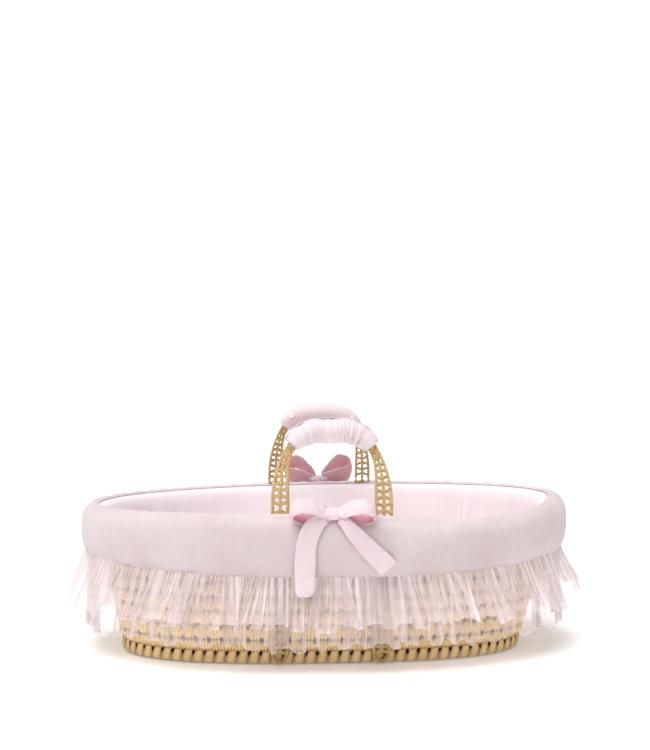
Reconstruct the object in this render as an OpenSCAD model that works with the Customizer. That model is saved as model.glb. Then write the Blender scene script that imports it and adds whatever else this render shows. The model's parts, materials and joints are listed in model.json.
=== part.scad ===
// Moses basket: a woven palm basket with two carrying handles, a padded cover with a tulle
// frill and two bows, and loose bedding. Lengths are in millimetres.
// X runs from the head end (-X) to the foot end (+X), the front side faces -Y, and Z is up
// from the floor under the middle of the basket.

/* [Basket] */
// Length of the woven wall at its top, outside
wall_l = 808; // [780:2:820]
// Width of the woven wall at its top, outside
wall_w = 416; // [404:2:424]
// Length of the woven wall at the floor, outside
foot_l = 698; // [690:2:706]
// Width of the woven wall at the floor, outside
foot_w = 324; // [318:2:330]
// Height of the wall, under the rim coil
wall_h = 237; // [230:1:240]
// Thickness of the woven wall
wall_t = 8; // [6:1:9]
// Diameter of the coil along the foot
foot_coil_d = 16; // [14:1:18]
// Diameter of the coil along the rim
rim_coil_d = 14; // [12:1:14]

/* [Cover] */
// How far the padded cover stands out past the wall at its ends and sides
cover_out = 26; // [24:1:30]
// Height of the padded cover's crown above the floor
cover_top = 261; // [260:1:264]
// Height of the outer valance, from its hem to the crown
valance_h = 100; // [90:1:105]
// Diameter of the piping along the rim seam
piping_d = 2.4; // [2:0.2:3]

/* [Frill] */
// Height of the short tulle layer's lower edge
short_z = 80; // [70:1:90]
// Height of the long tulle layer's lower edge
long_z = 42; // [36:1:55]
// How far the short layer flares past the valance
frill_flare = 38; // [30:1:40]

/* [Handles] */
// Distance between the middles of a handle's two legs
leg_gap = 168; // [164:1:176]
// Width of a leg's braided strap
strap_w = 30; // [26:1:30]
// Thickness of the strap
strap_t = 7; // [6:0.5:8]
// Height of the arch above its fold line, to the middle of the grip
arch_h = 134; // [130:1:150]
// Angle that each handle leans inwards
lean = 14; // [5:1:14]
// Width of the padded grip cover, across the handle
grip_w = 42; // [38:1:44]
// Depth of the padded grip cover, from its top to its palm side
grip_d = 37; // [34:1:40]
// Diameter of the snap buttons
snap_d = 11; // [9:1:13]

/* [Bows] */
// Length of a bow, from loop end to loop end
bow_l = 132; // [120:1:133]
// Width of the ribbon
ribbon_w = 28; // [24:1:30]
// Drop of the hanging tail below the knot
tail_drop = 128; // [100:1:130]

/* [Bedding] */
// Length of the mattress
mattress_l = 684; // [670:2:686]
// Width of the mattress
mattress_w = 308; // [300:2:310]
// Thickness of the mattress with its sheet
mattress_t = 40; // [34:1:42]
// Thickness of the coverlet
coverlet_t = 22; // [18:1:26]
// Where the turned-down edge lies, along the length
turndown_x = -167; // [-175:1:-160]
// Thickness of the pillow
pillow_t = 12; // [10:1:14]

/* [Hidden] */

around = 72;         // points around every oval
gap = 0.4;           // clearance between neighbouring pieces
rim_n = 2.08;        // roundness of the rim's oval: 2 is an ellipse
foot_n = 2.6;        // roundness of the foot's oval, fuller at its corners

// Half sizes of the wall's top and foot
top_a = wall_l / 2;
top_b = wall_w / 2;
foot_a = foot_l / 2;
foot_b = foot_w / 2;
foot_top = foot_coil_d + 1;

// --- Ovals and lofts ---------------------------------------------------------------

function signed_pow(v, e) = sign(v) * pow(abs(v), e);
function oval_at(a, b, n, t) = [a * signed_pow(cos(t), 2 / n), b * signed_pow(sin(t), 2 / n)];
// Half width of an oval at the distance x from its middle
function oval_y(a, b, n, x) = b * pow(max(0, 1 - pow(abs(x) / a, n)), 1 / n);
// A row with a fifth value rises by it towards the two ends of the basket
function oval_ring(row) =
    [for (i = [0:around - 1]) let (p = oval_at(row[0], row[1], row[2], 360 * i / around), rise = len(row) > 4 ? row[4] : 0)
        [p[0], p[1], row[3] + rise * pow(abs(p[0]) / row[0], 2.6)]];

// Faces between the rings that follow one another, counting from ring 0 to ring last
function band_faces(last) = [
    for (r = [0:last - 1], i = [0:around - 1], half = [0, 1])
        let (j = (i + 1) % around, a = r * around, b = (r + 1) * around)
            half == 0 ? [a + i, b + i, b + j] : [a + i, b + j, a + j]
];

// A closed tube around the basket. Each row is [half length, half width, roundness, height],
// up the outside first and down the inside after it.
module oval_tube(rows) {
    closed = concat(rows, [rows[0]]);
    count = len(rows);
    points = [for (row = rows) each oval_ring(row)];
    wrapped = [for (f = band_faces(count)) [for (v = f) v % (count * around)]];
    polyhedron(points = points, faces = wrapped, convexity = 10);
}

// A closed body with a flat first face that looks down and a flat last face that looks up
module oval_body(rows) {
    last = len(rows) - 1;
    points = [for (row = rows) each oval_ring(row)];
    faces = concat(
        [[for (i = [0:around - 1]) i]],
        [[for (i = [around - 1:-1:0]) last * around + i]],
        band_faces(last)
    );
    polyhedron(points = points, faces = faces, convexity = 10);
}

// A coil of round section that follows an oval
module oval_coil(a, b, n, z, d, sides = 8) {
    oval_tube([for (k = [0:sides - 1]) let (t = 360 * k / sides)
        [a + d / 2 * cos(t), b + d / 2 * cos(t), n, z + d / 2 * sin(t)]]);
}

// Both long sides are alike: what is made for the front is turned about Z for the back.
module to_back() {
    rotate([0, 0, 180]) children();
}

// --- Woven basket ------------------------------------------------------------------

// Share of the way from the foot's size to the top's size, at these shares of the height
wall_steps = [[0, 0], [0.055, 0.13], [0.13, 0.22], [0.33, 0.40], [0.56, 0.60], [0.81, 0.80], [1, 1]];
function wall_row(step, inset) = let (z = foot_top + step[0] * (wall_h - foot_top), s = step[1])
    [foot_a + s * (top_a - foot_a) - inset, foot_b + s * (top_b - foot_b) - inset,
     foot_n + (rim_n - foot_n) * s, z];
wall_outer = [for (step = wall_steps) wall_row(step, 0)];
wall_inner = [for (step = wall_steps) wall_row(step, wall_t)];

module woven_base() {
    color("burlywood") linear_extrude(foot_coil_d)
        polygon([for (i = [0:around - 1])
            oval_at(foot_a - foot_coil_d - 1, foot_b - foot_coil_d - 1, foot_n, 360 * i / around)]);
}

module foot_coil() {
    color("burlywood")
        oval_coil(foot_a - foot_coil_d / 2, foot_b - foot_coil_d / 2, foot_n, foot_coil_d / 2 + 0.6, foot_coil_d);
}

module woven_wall() {
    color("burlywood")
        oval_tube(concat(wall_outer, [for (i = [len(wall_inner) - 1:-1:0]) wall_inner[i]]));
}

module rim_coil() {
    r = rim_coil_d / 2;
    color("burlywood") oval_coil(top_a - r, top_b - r, rim_n, wall_h + gap + r, rim_coil_d);
}

// --- Handles -----------------------------------------------------------------------

leg_x = leg_gap / 2;
leg_in = leg_x - strap_w / 2;
fold_z = cover_top + strap_t / 2 + 1.5;
strap_top = fold_z - strap_t / 2 - 0.35;
strap_in = oval_y(top_a, top_b, rim_n, leg_in) + gap;
fold_y = strap_in + strap_t / 2;

// The strap's inner face, down the outside of the wall and past the foot coil
strap_line = concat(
    [[strap_in, strap_top]],
    [for (i = [len(wall_outer) - 1:-1:1])
        [oval_y(wall_outer[i][0], wall_outer[i][1], wall_outer[i][2], leg_in) + gap, wall_outer[i][3]]],
    [[oval_y(foot_a, foot_b, foot_n, leg_in) + gap, foot_top],
     [oval_y(foot_a, foot_b, foot_n, leg_in) + gap, 2]]
);

// side is -1 for the left strap of the front handle and 1 for the right one
module wall_strap(side) {
    last = len(strap_line) - 1;
    color("tan") translate([side * leg_x - strap_w / 2, 0, 0]) rotate([90, 0, 90])
        linear_extrude(strap_w) polygon(concat(
            [for (p = strap_line) [-p[0], p[1]]],
            [for (i = [last:-1:0]) [-strap_line[i][0] - strap_t, strap_line[i][1]]]
        ));
}

arch_n = 2.9;        // squareness of the arch
arch_thin = 0.55;    // the strap narrows to this share of its width under the grip
arch_steps = 44;
function arch_at(t) = [leg_x * signed_pow(cos(t), 2 / arch_n), arch_h * signed_pow(sin(t), 2 / arch_n)];
function unit(v) = v / norm(v);
function arch_normal(t) = let (d = unit(arch_at(t + 0.5) - arch_at(t - 0.5))) [d[1], -d[0]];
function ease(s) = let (c = max(0, min(1, s))) c * c * (3 - 2 * c);
function arch_half(t) = strap_w / 2 * (1 - (1 - arch_thin) * ease(min(t, 180 - t) / 38));
function arch_side(sign, extra) = [for (i = [0:arch_steps]) let (t = 0.5 + 179 * i / arch_steps)
    arch_at(t) + sign * (arch_half(t) + extra) * arch_normal(t)];

module arch_outline(extra = 0) {
    inside = arch_side(-1, extra);
    polygon(concat(
        [[leg_x + strap_w / 2 + extra, 0]],
        arch_side(1, extra),
        [[-leg_x - strap_w / 2 - extra, 0], [-leg_x + strap_w / 2 + extra, 0]],
        [for (i = [arch_steps:-1:0]) inside[i]],
        [[leg_x - strap_w / 2 - extra, 0]]
    ));
}

// Places a handle's pieces, made upright about the fold line, where the front handle stands
module at_front_fold() {
    translate([0, -fold_y, fold_z]) rotate([-lean, 0, 0]) children();
}

module handle_arch() {
    color("tan") {
        rotate([90, 0, 0]) linear_extrude(strap_t, center = true) arch_outline();
        for (side = [-1, 1])
            translate([side * leg_x - strap_w / 2, 0, 0]) rotate([0, 90, 0])
                cylinder(h = strap_w, d = strap_t, $fn = 32);
    }
}

grip_start = 44;     // where the grip cover starts along the arch, in degrees of the arch
grip_rings = 18;
grip_sides = 16;
// A ring of the grip cover: full in the middle and drawn in at its two ends
function grip_ring(k) =
    let (s = k / grip_rings, t = grip_start + s * (180 - 2 * grip_start),
         pull = pow(sin(180 * (0.06 + 0.88 * s)), 0.28), c = arch_at(t), r = arch_normal(t))
    [for (i = [0:grip_sides - 1]) let (u = 360 * i / grip_sides,
        out = grip_d / 2 * pull * cos(u), across = grip_w / 2 * pull * sin(u))
        [c[0] + r[0] * out, across, c[1] + r[1] * out]];

module grip_cover() {
    points = [for (k = [0:grip_rings]) each grip_ring(k)];
    sides = [for (k = [0:grip_rings - 1], i = [0:grip_sides - 1], half = [0, 1])
        let (j = (i + 1) % grip_sides, a = k * grip_sides, b = (k + 1) * grip_sides)
            half == 0 ? [a + i, a + j, b + j] : [a + i, b + j, b + i]];
    ends = [[for (i = [grip_sides - 1:-1:0]) i], [for (i = [0:grip_sides - 1]) grip_rings * grip_sides + i]];
    color("lavenderblush") difference() {
        polyhedron(points = points, faces = concat(sides, ends), convexity = 6);
        rotate([90, 0, 0]) linear_extrude(strap_t + 2 * gap, center = true) arch_outline(gap);
    }
}

snap_t = 61;         // place of a snap along the arch, in degrees of the arch
snap_turn = 55;      // turn of a snap from the top of the grip towards the inside
module snap_pair() {
    reach = 1 / norm([sin(snap_turn) / (grip_w / 2), cos(snap_turn) / (grip_d / 2)]);
    for (t = [snap_t, 180 - snap_t]) {
        c = arch_at(t);
        r = arch_normal(t);
        color("white") translate([c[0], 0, c[1]]) rotate([0, atan2(r[0], r[1]), 0])
            rotate([-snap_turn, 0, 0]) translate([0, 0, reach + gap])
                cylinder(h = 3, d = snap_d, $fn = 32);
    }
}

// --- Padded cover ------------------------------------------------------------------

cover_a = top_a + cover_out;
cover_b = top_b + cover_out + 7;
hem_z = cover_top - valance_h;
hem_rise = 18;       // the hem is cut higher at the two ends
seam_a = top_a - 1;
seam_b = top_b + 6;

// Room for a handle strap where it comes up through the cover
module leg_slits() {
    for (side = [-1, 1], way = [-1, 1])
        translate([side * leg_x, way * fold_y, cover_top])
            cube([strap_w + 6, strap_t + 5, 40], center = true);
}

module outer_valance() {
    color("pink") difference() {
        oval_tube([
            [cover_a - 8, cover_b - 8, rim_n, hem_z, hem_rise], [cover_a - 3, cover_b - 3, rim_n, hem_z + 14, hem_rise * 0.9],
            [cover_a, cover_b, rim_n, hem_z + 38, hem_rise * 0.6], [cover_a, cover_b, rim_n, hem_z + 60, hem_rise * 0.3],
            [cover_a - 3, cover_b - 3, rim_n, hem_z + 79], [cover_a - 10, cover_b - 10, rim_n, cover_top - 8],
            [cover_a - 19, cover_b - 19, rim_n, cover_top - 1.5], [seam_a, seam_b, rim_n, cover_top],
            [seam_a, seam_b, rim_n, cover_top - 7.5], [seam_a + 7, seam_b + 5, rim_n, cover_top - 15],
            [seam_a + 8.5, seam_b + 6.5, rim_n, hem_z + 50, hem_rise / 2], [seam_a + 7, seam_b + 6, rim_n, hem_z, hem_rise]
        ]);
        leg_slits();
    }
}

module valance_hem() {
    color("pink") oval_tube([
        [cover_a - 12, cover_b - 12, rim_n, hem_z - 6, hem_rise], [cover_a - 7, cover_b - 7, rim_n, hem_z - 6, hem_rise],
        [cover_a - 7, cover_b - 7, rim_n, hem_z - gap, hem_rise], [cover_a - 12, cover_b - 12, rim_n, hem_z - gap, hem_rise]
    ]);
}

module rim_piping() {
    color("palevioletred") difference() {
        oval_coil(seam_a, seam_b, rim_n, cover_top + piping_d / 2 + 0.2, piping_d, 6);
        leg_slits();
    }
}

lining_z = foot_top + mattress_t + 1.5;
module inner_lining() {
    rim_in_a = top_a - rim_coil_d - 1.2;
    rim_in_b = top_b - rim_coil_d - 1.2;
    back = [for (i = [2:len(wall_inner) - 2])
        [wall_inner[i][0] - 5, wall_inner[i][1] - 5, wall_inner[i][2], wall_inner[i][3]]];
    above = [for (row = back) if (row[3] > lining_z + 12) row];
    color("lavenderblush") difference() {
        oval_tube(concat(
            [[mattress_l / 2 + 6, mattress_w / 2 + 6, foot_n - 0.05, lining_z]],
            above,
            [[rim_in_a - 1, rim_in_b - 1, rim_n, wall_h], [rim_in_a, rim_in_b, rim_n, cover_top - 9],
             [seam_a - 0.5, seam_b - 0.5, rim_n, cover_top - 7.5],
             [seam_a - 0.5, seam_b - 0.5, rim_n, cover_top - 0.5], [seam_a - 9, seam_b - 9, rim_n, cover_top - 1],
             [seam_a - 19, seam_b - 20, rim_n, cover_top - 7], [seam_a - 26, seam_b - 27, rim_n, wall_h]],
            [for (i = [len(above) - 1:-1:0]) [above[i][0] - 11, above[i][1] - 10, above[i][2], above[i][3]]],
            [[mattress_l / 2 + 1, mattress_w / 2 + 1.2, foot_n - 0.05, lining_z]]
        ));
        leg_slits();
    }
}

module lining_elastic() {
    color("white") oval_coil(mattress_l / 2 + 6, mattress_w / 2 + 6, foot_n - 0.05, lining_z - 4, 4, 6);
}

// --- Tulle frill -------------------------------------------------------------------

frill_t = 3;
frill_z = hem_z - 6 - gap;
// One gathered layer, hung from its upper edge and flared towards its lower edge
module frill(inset, low_z, flare) {
    steps = 5;
    rows = [for (k = [0:steps]) let (s = k / steps)
        [cover_a - inset + flare * pow(s, 1.4), cover_b - inset + flare * 0.78 * pow(s, 1.4), rim_n,
         frill_z + s * (low_z - frill_z), hem_rise * (1 - s)]];
    oval_tube(concat(
        [for (k = [steps:-1:0]) rows[k]],
        [for (k = [0:steps]) [rows[k][0] - frill_t, rows[k][1] - frill_t, rows[k][2], rows[k][3], rows[k][4]]]
    ));
}

module tulle_frill_short() {
    color("mistyrose") frill(8, short_z, frill_flare);
}

module tulle_frill_long() {
    color("mistyrose") frill(12, long_z, 8);
}

// --- Bows --------------------------------------------------------------------------

bow_y = cover_b - 9;
bow_z = cover_top - 0.7;
bow_tilt = 40;
back_loops = [14, 50, 4];   // the back bow's loops stand up: their tilt, rise and sag
ribbon_t = 2;
tail_y = cover_b + gap;
knot_half = 8;

// Places what is made about the knot, with its outer side up, on the front shoulder of the cover
module at_front_knot(tilt = bow_tilt) {
    translate([0, -bow_y, bow_z]) rotate([tilt, 0, 0]) children();
}

function loop_outline(inset, rise, sag) = [for (i = [0:35]) let (t = 10 * i,
    run = bow_l / 2 - knot_half - 1, far = t < 180 ? rise : sag, w = abs(sin(t)) * pow(sin(t / 2) * sin(t / 2), 0.4))
    [knot_half + 1 + inset + (run - 2 * inset) * (1 - cos(t)) / 2,
     3 + (t < 180 ? 1 : -1) * max(far - inset, 1) * w]];

module bow_loop(side, rise = 23, sag = 8) {
    color("lightpink") rotate([90, 0, 0]) linear_extrude(ribbon_w, center = true)
        mirror([side < 0 ? 1 : 0, 0]) difference() {
            polygon(loop_outline(0, rise, sag));
            polygon(loop_outline(ribbon_t, rise, sag));
        }
}

module back_loop(side) {
    to_back() at_front_knot(back_loops[0]) bow_loop(side, back_loops[1], back_loops[2]);
}

module bow_knot() {
    color("pink") rotate([90, 0, 0]) linear_extrude(ribbon_w - 4, center = true)
        translate([0, 1.5]) offset(r = 4, $fn = 24) square([2 * knot_half - 8, 7], center = true);
}

// A tail hangs flat in front of the cover. Its outline is given across and down from the knot.
module bow_tail(outline) {
    color("lightpink") translate([0, -tail_y, bow_z]) rotate([90, 0, 0])
        linear_extrude(ribbon_t) polygon(outline);
}

hang_x = -44;        // middle of the tail that hangs straight down
slant = [88, -86];   // where the slanting tail ends, across and down from the knot
half_ribbon = ribbon_w / 2;
hanging_tail = [
    [-2, -9], [-8, -9], [-22, -17], [hang_x - half_ribbon + 3, -34], [hang_x - half_ribbon, -50],
    [hang_x - half_ribbon, 8 - tail_drop], [hang_x - half_ribbon + 7, -tail_drop],
    [hang_x + half_ribbon - 7, -tail_drop], [hang_x + half_ribbon, 8 - tail_drop],
    [hang_x + half_ribbon, -42], [-8, -20], [-2, -14]
];
slant_across = half_ribbon * [slant[1], -slant[0]] / norm(slant);
slanting_tail = [
    [2, -9], [8, -9], slant * 0.35 - 0.7 * slant_across, slant - slant_across,
    slant * 1.04, slant + slant_across, slant * 0.35 + 0.7 * slant_across, [2, -14]
];

// --- Bedding -----------------------------------------------------------------------

bed_a = mattress_l / 2;
bed_b = mattress_w / 2;
bed_n = foot_n - 0.18;   // the corners clear the lining as the mattress is lifted out
bed_low = foot_top;
bed_top = bed_low + mattress_t;
sheet_t = 1.5;

// Side of the mattress from its lower face to its upper face, drawn in by inset
function mattress_rows(inset) = [
    [bed_a - 12, bed_b - 11, bed_n, bed_low + inset],
    [bed_a - 4 - inset, bed_b - 4 - inset, bed_n, bed_low + 6],
    [bed_a - inset, bed_b - inset, bed_n, bed_low + 14],
    [bed_a - inset, bed_b - inset, bed_n, bed_top - 7],
    [bed_a - 3 - inset, bed_b - 3 - inset, bed_n, bed_top - 2 - inset / 2],
    [bed_a - 11, bed_b - 10, bed_n, bed_top - inset]
];

module mattress_foam() {
    color("ivory") oval_body(mattress_rows(sheet_t + gap));
}

module fitted_sheet() {
    inner = mattress_rows(sheet_t);
    color("white") oval_body(concat(
        [for (i = [5:-1:0]) inner[i]],
        [[bed_a - 26, bed_b - 25, bed_n, bed_low + sheet_t], [bed_a - 26, bed_b - 25, bed_n, bed_low]],
        mattress_rows(0)
    ));
}

// What lies on the mattress follows its oval, a little inside the lining
module bed_outline(inset, x_from, x_to) {
    intersection() {
        polygon([for (i = [0:around - 1]) oval_at(bed_a - inset, bed_b - inset, bed_n, 360 * i / around)]);
        translate([x_from, -bed_b]) square([x_to - x_from, 2 * bed_b]);
    }
}

on_bed = bed_top + gap;
short_by = 9;        // the bedding stops this far inside the mattress's edge, clear of the lining
pillow_end = turndown_x - 9;
flange = 28;         // flat border around the pillow's filling
module pillow() {
    color("white") {
        translate([0, 0, on_bed]) linear_extrude(2.2) bed_outline(short_by, -bed_a, pillow_end);
        translate([0, 0, on_bed + 2.1]) linear_extrude(pillow_t - 4)
            bed_outline(short_by + flange, -bed_a, pillow_end - flange / 2);
        translate([0, 0, on_bed + pillow_t - 2]) linear_extrude(2)
            bed_outline(short_by + flange + 9, -bed_a, pillow_end - 9 - flange / 2);
    }
}

module coverlet() {
    color("pink") translate([0, 0, on_bed]) linear_extrude(coverlet_t)
        bed_outline(short_by, turndown_x, bed_a);
}

// The sheet lies over the coverlet's head edge, with a flap down in front of it
turn_t = 3.2;        // thickness of the turned-down layers
turn_z = on_bed + coverlet_t + gap;
white_end = turndown_x + 81;
border_end = white_end + 71;
module turndown_sheet() {
    flap = 5;
    color("white") {
        translate([0, 0, turn_z]) linear_extrude(turn_t) bed_outline(short_by, turndown_x - flap, white_end);
        translate([0, 0, on_bed]) linear_extrude(turn_z - on_bed + turn_t)
            bed_outline(short_by, turndown_x - flap, turndown_x - gap);
    }
}

module turndown_border() {
    color("lightpink") translate([0, 0, turn_z]) linear_extrude(turn_t)
        bed_outline(short_by, white_end + 3 + gap, border_end);
}

module turndown_piping() {
    for (x = [white_end + 1.7, border_end + 2, border_end + 9.5]) {
        half = oval_y(bed_a, bed_b, bed_n, x) - short_by - 2;
        color("palevioletred") translate([x, half, turn_z + 1.5]) rotate([90, 0, 0])
            cylinder(h = 2 * half, d = 2.6, $fn = 24);
    }
}

heart = 17;
module embroidered_heart() {
    color("palevioletred") translate([turndown_x + 50, 0, turn_z + turn_t + gap]) rotate([0, 0, -90]) linear_extrude(0.8) {
        rotate([0, 0, 45]) square(heart * 0.5, center = true);
        for (side = [-1, 1])
            translate([side * heart * 0.177, heart * 0.177]) circle(d = heart * 0.5, $fn = 32);
    }
}

// --- Nodes -------------------------------------------------------------------------

woven_base();
foot_coil();
woven_wall();
rim_coil();
wall_strap(-1);  // front_left_strap
wall_strap(1);  // front_right_strap
to_back() wall_strap(1);  // back_left_strap
to_back() wall_strap(-1);  // back_right_strap
at_front_fold() handle_arch();  // front_handle
at_front_fold() grip_cover();  // front_handle_cover
at_front_fold() snap_pair();  // front_handle_snaps
to_back() at_front_fold() handle_arch();  // back_handle
to_back() at_front_fold() grip_cover();  // back_handle_cover
to_back() at_front_fold() snap_pair();  // back_handle_snaps
outer_valance();
valance_hem();
rim_piping();
inner_lining();
lining_elastic();
tulle_frill_short();
tulle_frill_long();
at_front_knot() bow_loop(-1);  // front_bow_left_loop
at_front_knot() bow_loop(1);  // front_bow_right_loop
at_front_knot() bow_knot();  // front_bow_knot
bow_tail(hanging_tail);  // front_bow_left_tail
bow_tail(slanting_tail);  // front_bow_right_tail
back_loop(1);  // back_bow_left_loop
back_loop(-1);  // back_bow_right_loop
to_back() at_front_knot() bow_knot();  // back_bow_knot
to_back() bow_tail(slanting_tail);  // back_bow_left_tail
to_back() bow_tail(hanging_tail);  // back_bow_right_tail
mattress_foam();
fitted_sheet();
pillow();
coverlet();
turndown_sheet();
turndown_border();
turndown_piping();
embroidered_heart();
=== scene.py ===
"""A moses basket: woven palm, a padded pink cover with tulle and bows, and its bedding.

Lengths are in millimetres in the basket's own frame: +X is the foot end, -Y the front, +Z up.
add_grids and add_strands turn them into metres.
"""
import json
import math

import bpy
import numpy as np
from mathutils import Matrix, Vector
from mathutils.bvhtree import BVHTree


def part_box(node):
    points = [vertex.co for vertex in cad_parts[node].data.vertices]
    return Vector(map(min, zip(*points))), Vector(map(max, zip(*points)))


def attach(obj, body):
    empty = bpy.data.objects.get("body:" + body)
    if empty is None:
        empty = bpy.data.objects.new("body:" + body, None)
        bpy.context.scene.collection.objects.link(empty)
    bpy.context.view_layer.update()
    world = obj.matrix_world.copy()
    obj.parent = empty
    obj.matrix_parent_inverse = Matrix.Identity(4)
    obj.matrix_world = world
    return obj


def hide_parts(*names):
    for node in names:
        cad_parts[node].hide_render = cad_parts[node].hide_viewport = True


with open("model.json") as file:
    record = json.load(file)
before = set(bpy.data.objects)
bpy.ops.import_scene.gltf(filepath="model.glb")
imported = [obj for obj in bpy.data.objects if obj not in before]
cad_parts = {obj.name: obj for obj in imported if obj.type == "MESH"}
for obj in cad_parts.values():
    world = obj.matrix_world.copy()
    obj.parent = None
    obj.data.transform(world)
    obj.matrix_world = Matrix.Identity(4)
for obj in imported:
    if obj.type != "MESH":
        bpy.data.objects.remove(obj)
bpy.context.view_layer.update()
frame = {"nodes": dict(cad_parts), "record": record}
MM = 0.001


# --- Camera ------------------------------------------------------------------------
# A long lens a little over two metres in front of the basket, just above the handles,
# turned slightly so that the far handle shows beside the near one.

eye_distance = 2250
eye_height = 546
eye_turn = math.radians(3.2)
eye_tilt = math.radians(1.8)

camera = bpy.data.objects.new("camera", bpy.data.cameras.new("camera"))
bpy.context.collection.objects.link(camera)
camera.data.lens = 60.9
eye_x, eye_y = -eye_distance * math.sin(eye_turn), -eye_distance * math.cos(eye_turn)
camera.location = Vector((eye_x, eye_y, eye_height)) * MM
camera.rotation_euler = (math.pi / 2 - eye_tilt, 0, -eye_turn)
bpy.context.scene.camera = camera


# --- Woven floor, foot coil, wall and rim coil ---------------------------------------
# The basket is palm leaf: a coiled floor and foot, then rows of upright leaf strips
# stitched to one another, with painted shade in the gaps at the stitches, and a coil that ends the wall.

def box(name):
    """A node's lowest and highest corners"""
    low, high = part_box(name)
    return np.array(low) / MM, np.array(high) / MM


def oval(half_l, half_w, roundness, z, count):
    """A ring of points an even step apart, from the foot end round by the back"""
    t = np.linspace(0, 2 * np.pi, 2881)
    x = half_l * np.sign(np.cos(t)) * np.abs(np.cos(t)) ** (2 / roundness)
    y = half_w * np.sign(np.sin(t)) * np.abs(np.sin(t)) ** (2 / roundness)
    run = np.concatenate([[0], np.cumsum(np.hypot(np.diff(x), np.diff(y)))])
    step = np.arange(count) / count * run[-1]
    return np.stack([np.interp(step, run, x), np.interp(step, run, y), np.full(count, float(z))], 1)


def ovals(rows, count):
    """Rings for rows of half length, half width, roundness and height"""
    return np.array([oval(*row, count) for row in rows])


def outward(grid, closed=False):
    """The unit normals of a grid of rings"""
    along = np.roll(grid, -1, 1) - np.roll(grid, 1, 1)
    up = np.roll(grid, -1, 0) - np.roll(grid, 1, 0) if closed else np.gradient(grid, axis=0)
    normal = np.cross(along, up)
    return normal / np.maximum(np.linalg.norm(normal, axis=2, keepdims=True), 1e-9)


def add_piece(name, points, faces, finish):
    """A smooth mesh object, in metres from here on"""
    mesh = bpy.data.meshes.new(name)
    mesh.from_pydata((np.asarray(points) * MM).tolist(), [], faces)
    mesh.polygons.foreach_set("use_smooth", [True] * len(mesh.polygons))
    mesh.materials.append(finish)
    mesh.update()
    made = bpy.data.objects.new(name, mesh)
    bpy.context.collection.objects.link(made)
    return made


def add_grids(name, grids, finish, around=True, closed=False, caps=False):
    """Surfaces through rows of points. around joins a row's end to its start, closed the last
    row to the first, and caps fills the first and last rows."""
    points, faces, start = [], [], 0
    for grid in grids:
        rows, columns = grid.shape[:2]
        index = start + np.arange(rows * columns).reshape(rows, columns)
        first, last = index[0, ::-1].tolist(), index[-1].tolist()
        index = np.hstack([index, index[:, :1]]) if around else index
        index = np.vstack([index, index[:1]]) if closed else index
        corners = [index[:-1, :-1], index[:-1, 1:], index[1:, 1:], index[1:, :-1]]
        faces += np.stack(corners, -1).reshape(-1, 4).tolist()
        faces += [first, last] if caps else []
        points.append(grid.reshape(-1, 3))
        start += rows * columns
    return add_piece(name, np.vstack(points), faces, finish)


def paint(piece, name, values):
    """Stores one number per point for the material to read"""
    layer = piece.data.attributes.new(name, "FLOAT", "POINT")
    layer.data.foreach_set("value", np.ascontiguousarray(values, dtype=np.float32).ravel())


def ripple(u, low, high, seed, terms=8):
    """Smooth uneven waves, about -1 to 1, with low to high of them while u runs from 0 to 1"""
    dice = np.random.default_rng(seed)
    counts = dice.integers(low, high, terms, endpoint=True)
    return sum(np.sin(2 * np.pi * (k * u + dice.random())) for k in counts) / (0.8 * terms ** 0.5)


def linear(colour):
    """An sRGB hex colour as linear RGBA"""
    parts = [int(colour[i:i + 2], 16) / 255 for i in (1, 3, 5)]
    return [c / 12.92 if c <= 0.04045 else ((c + 0.055) / 1.055) ** 2.4 for c in parts] + [1.0]


def node(tree, kind, inputs=None, **settings):
    """Adds a node. Each input is a number, a colour or another node's output."""
    made = tree.nodes.new("ShaderNode" + kind)
    for key, value in settings.items():
        setattr(made, key, value)
    for key, value in (inputs or {}).items():
        if isinstance(value, bpy.types.NodeSocket):
            tree.links.new(value, made.inputs[key])
        else:
            made.inputs[key].default_value = value
    return made


def start_material(name, surface):
    """A material with its shader's own settings: the node tree and the shader come back with it"""
    made = bpy.data.materials.new(name)
    made.use_nodes = True
    shader = made.node_tree.nodes["Principled BSDF"]
    for key, value in surface.items():
        shader.inputs[key].default_value = value
    return made, made.node_tree, shader


def palm_leaf(name, light, dark, gap):
    """Dried palm leaf, split and woven: fibrous, matt, each strip a little different in tone.
    leaf is painted from 0 to 1 for a strip's tone; a second attribute, from 0 to 1, is painted shade that
    darkens the leaf towards the last colour where it lies deep in a gap or under another part."""
    made, tree, shader = start_material(name, {"Roughness": 0.62, "IOR": 1.45, "Specular IOR Level": 0.3})
    place = node(tree, "TexCoord").outputs["Object"]
    tone = node(tree, "Attribute", attribute_name="leaf")
    painted_shade_amount = node(tree, "Attribute", attribute_name="gap").outputs["Fac"]
    fibre = node(tree, "TexNoise", {"Vector": place, "Scale": 1 / (2.5 * MM), "Detail": 3.0}).outputs["Fac"]
    blotch = node(tree, "TexNoise", {"Vector": place, "Scale": 1 / (28 * MM), "Detail": 2.0}).outputs["Fac"]
    mixed = node(tree, "Math", {0: tone.outputs["Fac"], 1: blotch}, operation="MULTIPLY_ADD")
    mixed.inputs[2].default_value = 0.05
    body = node(tree, "Mix", {0: mixed.outputs[0], 6: linear(dark), 7: linear(light)}, data_type="RGBA")
    worn = node(tree, "Mix", {0: fibre, 6: body.outputs[2], 7: linear(light)}, data_type="RGBA")
    # painted shade: the leaf is darkened towards the last colour where it lies deep in a gap or under
    # another part
    deep = node(tree, "Mix", {0: painted_shade_amount, 6: worn.outputs[2], 7: linear(gap)}, data_type="RGBA")
    tree.links.new(deep.outputs[2], shader.inputs["Base Color"])
    relief = node(tree, "Bump", {"Height": fibre, "Strength": 0.5, "Distance": 0.6 * MM})
    tree.links.new(relief.outputs[0], shader.inputs["Normal"])
    return made


# the last colour is the painted shade
palm = palm_leaf("dried_palm_leaf", "#FFE6B2", "#EAB36E", "#25150A")

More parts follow.
